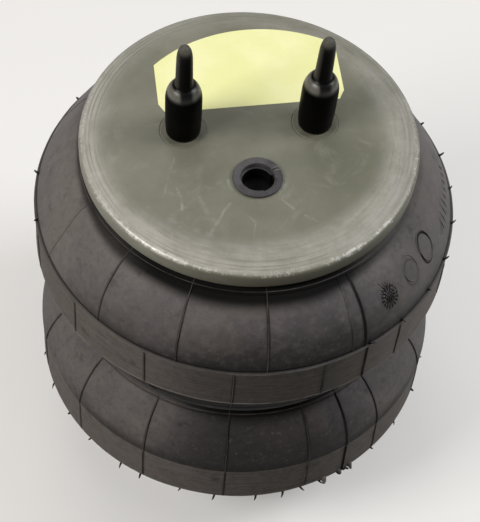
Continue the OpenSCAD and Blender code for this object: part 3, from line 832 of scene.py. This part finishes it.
plug = {
    "flange": 16.5, "thick": 2, "cup": 12.8, "cupDepth": 14, "mouth": 11.3, "ledge": 10.2, "ledgeDepth": 2.2,
    "floor": 12.5, "slit": 24, "slitHalf": 3.2, "notchStart": -80, "notchEnd": -8, "notchRamp": 4,
    "openStart": -76, "openEnd": 22, "seat": 0.1, "turnSteps": 288,  # no ledge in the open part
    "grey": (0.053, 0.050, 0.053), "pale": (0.082, 0.078, 0.081), "lips": (0.21, 0.20, 0.20),
    "inside": (0.0015, 0.0015, 0.0015),
}


def plugPlastic():
    finish = Finish("plugPlastic", specularIorLevel=0.25)
    at = finish.coords()
    x, y, z = finish.parts(at)
    cloud = finish.noise(at, 150, 5, 0.6)
    # painted light: paler towards the back and the left, over the random tone
    worn = cloud + (y - plate["port"][1]) * 0.012 - (x - plate["port"][0]) * 0.01
    colour = finish.mix(finish.fade(worn, 0.4, 0.7), plug["grey"], plug["pale"])
    # pale lips of the pull slit
    angle = finish.maths("ARCTAN2", y - plate["port"][1], x - plate["port"][0]) * (180 / math.pi)
    lips = finish.line((angle - plug["slit"]).maths("ABSOLUTE"), plug["slitHalf"] * 1.6, 2.2)
    colour = finish.mix(lips * finish.fade(z, fullHeight - 1.5, fullHeight + 1) * 0.7, colour, plug["lips"])
    # painted shade, darker deeper inside the cup
    colour = finish.mix(finish.fade(fullHeight - z, 0.5, 3.5), colour, plug["inside"])
    finish.set(baseColor=colour, roughness=0.42 + cloud * 0.15)
    finish.set(normal=finish.bump(finish.noise(at, 900, 3), 0.06, 0.5))
    return finish


def plugShell():
    p = plug
    outlines = []
    for k in range(p["turnSteps"]):
        turn = (360 * k / p["turnSteps"] + 180) % 360 - 180  # in degrees
        notch = smooth(turn, p["notchStart"], p["notchStart"] + p["notchRamp"])
        notch *= 1 - smooth(turn, p["notchEnd"] - p["notchRamp"], p["notchEnd"])
        off = abs(turn - p["slit"])
        cut = 1 - smooth(off, p["slitHalf"] * 0.5, p["slitHalf"])
        lip = math.exp(-((off - p["slitHalf"] * 1.6) / 1.6) ** 2)
        top = p["thick"] - 1.3 * cut + 0.7 * lip
        rim = p["mouth"] + 0.5 + 1.3 * notch
        shelf = top - 1.1 * notch
        ledge = p["mouth"] if p["openStart"] < turn < p["openEnd"] else p["ledge"]
        ledgeTop, floor, bottom = -p["ledgeDepth"], -p["floor"], -p["cupDepth"]
        outlines.append([
            (p["cup"], 0), (p["flange"] - 0.6, 0), (p["flange"], 0.6), (p["flange"], 1.2),
            (p["flange"] - 0.25, 1.7), (p["flange"] - 0.8, p["thick"] - 0.6 * cut), (rim + 0.3, top),
            (rim, top - 0.1), (rim - 0.1, shelf - 0.1), (p["mouth"] + 0.1, shelf - 0.25),
            (p["mouth"], shelf - 0.6), (p["mouth"], ledgeTop + 0.2), (ledge + 0.3, ledgeTop),
            (ledge, ledgeTop - 0.3), (ledge, floor), (0, floor), (0, bottom), (p["cup"] - 0.8, bottom),
            (p["cup"], bottom + 0.8),
        ])
    return Shell().spin(outlines, plate["port"], fullHeight + p["seat"], True)


plugShell().make("portPlug", plugPlastic(), "plug", "plug_plastic", ["port_plug"], 40)


# blank film stuck to the plate behind the studs

film = {
    "arcMiddle": (11.6, -9.6), "arcRadius": 102, "left": -58.8, "right": 68.5, "bottom": 21.8, "slant": 3.4,
    "cut": 4, "rise": 7.4, "lift": 0.02, "thick": 0.14,
    "yellow": (0.80, 0.80, 0.37), "pale": (0.86, 0.85, 0.46), "speck": (0.45, 0.44, 0.2),
}


def filmYellow():
    finish = Finish("filmYellow", specularIorLevel=0.4)
    at = finish.coords()
    cloud = finish.noise(at, 28, 5, 0.6)
    colour = finish.mix(finish.fade(cloud, 0.35, 0.7), film["yellow"], film["pale"])
    specks = finish.fade(finish.noise(at, 380, 4), 0.68, 0.76)
    colour = finish.mix(specks * 0.25, colour, film["speck"])
    finish.set(baseColor=colour, roughness=0.45 + cloud * 0.15)
    finish.set(normal=finish.bump(finish.noise(at, 45, 3, 0.5, 1.5), 0.6, 0.35))
    return finish


def filmShell():
    f = film
    ends = [math.degrees(math.acos((side - f["arcMiddle"][0]) / f["arcRadius"]))
            for side in (f["right"], f["left"])]
    edge = arc(f["arcMiddle"], f["arcRadius"], ends[0], ends[1], 40)
    low, high = f["bottom"], f["bottom"] + f["slant"]
    edge += [(f["left"], low + f["rise"]), (f["left"] + f["cut"], low)]
    edge += [(f["right"] - f["cut"], high), (f["right"], high + f["rise"])]
    faces = [[(x, y, fullHeight + z) for x, y in edge] for z in (f["lift"], f["thick"])]
    shell = Shell()
    shell.rings(faces, True, False, True)
    return shell


filmShell().make("plateFilm", filmYellow(), "top", sharp=40)


# steel pieces: threaded studs, and finishes for the solids that stay

steel = {
    "zinc": (0.55, 0.53, 0.46), "bare": (0.42, 0.41, 0.39), "black": (0.018, 0.018, 0.019),
    "rust": (0.16, 0.09, 0.05),
}
stud = {
    "radius": 9.525, "length": 30, "chamfer": 1.6, "headRadius": 18, "headThick": 5, "pitch": 25.4 / 16,
    "threadDepth": 0.9, "threadStart": 1.2, "runOut": 1.6, "turnSteps": 72, "rowsPerTurn": 8,
}
bumper = {"black": (0.016, 0.016, 0.017), "worn": (0.034, 0.032, 0.031)}


def steelFinish(name, colour, stain, stainShare, rough, metal):
    finish = Finish(name)
    at = finish.coords()
    x, y, z = finish.parts(at)
    cloud = finish.noise(at, 70, 6, 0.65)
    stained = finish.fade(cloud, 0.5, 0.75)
    tone = finish.mix(stained * stainShare, colour, stain)
    finish.set(baseColor=tone, roughness=rough + cloud * 0.2, metallic=metal - stained * 0.3)
    turned = finish.noise(finish.join(x * 0.02, y * 0.02, z * 0.8), 1, 4)  # fine lines round the piece
    finish.set(normal=finish.bump(turned, 0.04, 0.5))
    return finish


def studShell(x, y):
    s = stud
    top, low = -plate["sheet"], -plate["sheet"] - s["headThick"]
    head = [(0, low), (s["headRadius"] - 0.5, low), (s["headRadius"], low + 0.5),
            (s["headRadius"], top - 0.4), (s["headRadius"] - 0.4, top), (s["radius"], top),
            (s["radius"], s["threadStart"] - 0.3)]
    rows = int((s["length"] - s["threadStart"]) / s["pitch"] * s["rowsPerTurn"])
    outlines = []
    for k in range(s["turnSteps"]):
        turn = k / s["turnSteps"]
        outline = list(head)
        for i in range(rows + 1):
            z = s["threadStart"] + (s["length"] - s["threadStart"]) * i / rows
            tooth = smooth(abs(2 * ((z / s["pitch"] - turn) % 1) - 1), 0.12, 0.88)  # 1 at a crest
            depth = s["threadDepth"] * smooth(z, s["threadStart"], s["threadStart"] + s["runOut"])
            cone = s["radius"] - s["chamfer"] + s["length"] - z
            outline.append((min(s["radius"] - depth * (1 - tooth), cone), z))
        outlines.append(outline + [(0, s["length"])])
    return Shell().spin(outlines, (x, y), fullHeight)


def bumperRubber():
    finish = Finish("bumperRubber", specularIorLevel=0.4)
    at = finish.coords()
    cloud = finish.noise(at, 25, 5, 0.6)
    colour = finish.mix(finish.fade(cloud, 0.4, 0.65), bumper["black"], bumper["worn"])
    finish.set(baseColor=colour, roughness=0.55 + cloud * 0.2)
    finish.set(normal=finish.bump(finish.noise(at, 800, 3), 0.1, 0.5))
    return finish


zincPlain = steelFinish("zincSteel", steel["zinc"], steel["bare"], 0.5, 0.28, 0.95)
for side, (x, y) in zip(("left", "right"), plate["studs"]):
    studShell(x, y).make(side + "Stud", zincPlain, "top", "zinc_steel", [side + "_stud"], 45)
bareSteel = steelFinish("bareSteel", steel["bare"], steel["rust"], 0.35, 0.34, 0.95)
hoopSteel = steelFinish("hoopSteel", steel["black"], steel["rust"], 0.12, 0.4, 0.4)
keptFinishes = {
    zincPlain: ["left_blind_nut", "right_blind_nut"],
    bareSteel: ["bumper_button", "port_boss", "lower_bead_wire", "upper_bead_wire"],
    hoopSteel: ["girdle_hoop"], rubber: ["lower_bead", "upper_bead", "waist"], bumperRubber(): ["bumper"],
}
for finish, names in keptFinishes.items():
    for name in names:
        nodes[name].data.materials.clear()
        nodes[name].data.materials.append(finish.material)
print("finishes given to", sum(len(names) for names in keptFinishes.values()), "kept nodes")


# floor, light and camera

studio = {
    "floorColour": (0.86, 0.84, 0.815), "bounce": (0.25, 0.245, 0.24), "paper": (1.0, 0.99, 0.975),
    "paperShare": 0.26, "floorSize": 5, "floorDrop": 0.0004,
    "world": (0.95, 0.97, 1.0), "worldStrength": 0.07,
    # name, place, aim, size, watts, colour
    "lamps": [
        ("leftBox", (-1.25, -0.5, 1.3), (0, 0, 0.2), 0.7, 20, (1.0, 0.97, 0.93)),
        ("rightBox", (1.3, 0.0, 1.35), (0, 0, 0.2), 0.7, 18.2, (0.97, 0.98, 1.0)),
        ("backBox", (-0.4, 1.5, 1.6), (0, 0, 0.2), 1.2, 8.5, (1.0, 0.99, 0.97)),
        ("topBox", (0.0, -0.1, 2.0), (0, 0, 0.2), 1.4, 6, (1.0, 0.99, 0.98)),
    ],
    "eye": (-0.1352, -0.6912, 1.1637), "aim": (0.0009, -0.0002, 0.1601), "roll": 5.23,
    "lens": 114.32, "sensor": 36,
}


def floorPaper():
    finish = Finish("floorPaper", roughness=0.9, specularIorLevel=0.2)
    at = finish.coords()
    tone = finish.noise(at, 1.2, 3)
    path = finish.tree.nodes.new("ShaderNodeLightPath").outputs
    rays = [Wire(finish, path[name]) for name in ("Is Camera Ray", "Is Glossy Ray", "Is Transmission Ray")]
    seen = rays[0].most(*rays[1:])
    colour = finish.mix(seen, studio["bounce"], studio["floorColour"])
    finish.set(baseColor=finish.mix(tone * 0.06, colour, studio["bounce"]))
    share = seen * studio["paperShare"]  # pale paper, partly lit from behind
    glow = finish.node("ShaderNodeEmission", None, {"Color": studio["paper"], "Strength": 1.0})
    lit = Wire(finish, finish.shader.outputs[0])
    both = finish.node("ShaderNodeMixShader", None, {0: share, 1: lit, 2: glow})
    finish.feed(finish.tree.nodes["Material Output"].inputs["Surface"], both)
    return finish


half, drop = studio["floorSize"] / 2, -studio["floorDrop"]
corners = [(-half, -half, drop), (half, -half, drop), (half, half, drop), (-half, half, drop)]
floorMesh = bpy.data.meshes.new("floor")
floorMesh.from_pydata(corners, [], [(0, 1, 2, 3)])
floorMesh.materials.append(floorPaper().material)
floor = bpy.data.objects.new("floor", floorMesh)
bpy.context.scene.collection.objects.link(floor)

for name, place, aim, size, watts, colour in studio["lamps"]:
    lamp = bpy.data.lights.new(name, "AREA")
    lamp.size, lamp.energy, lamp.color = size, watts, colour
    box = bpy.data.objects.new(name, lamp)
    box.location = place
    box.rotation_mode = "QUATERNION"
    box.rotation_quaternion = (Vector(aim) - Vector(place)).to_track_quat("-Z", "Y")
    bpy.context.scene.collection.objects.link(box)

world = bpy.data.worlds.new("studio")
world.use_nodes = True
world.node_tree.nodes["Background"].inputs[0].default_value = (*studio["world"], 1)
world.node_tree.nodes["Background"].inputs[1].default_value = studio["worldStrength"]
bpy.context.scene.world = world

lens = bpy.data.cameras.new("camera")
lens.lens, lens.sensor_width = studio["lens"], studio["sensor"]
camera = bpy.data.objects.new("camera", lens)
camera.location = studio["eye"]
camera.rotation_mode = "QUATERNION"
look = (Vector(studio["aim"]) - Vector(studio["eye"])).to_track_quat("-Z", "Y")
camera.rotation_quaternion = look @ Quaternion((0, 0, 1), math.radians(studio["roll"]))
bpy.context.scene.collection.objects.link(camera)
bpy.context.scene.camera = camera
bpy.context.scene.view_settings.view_transform = "Standard"
print("studio set")
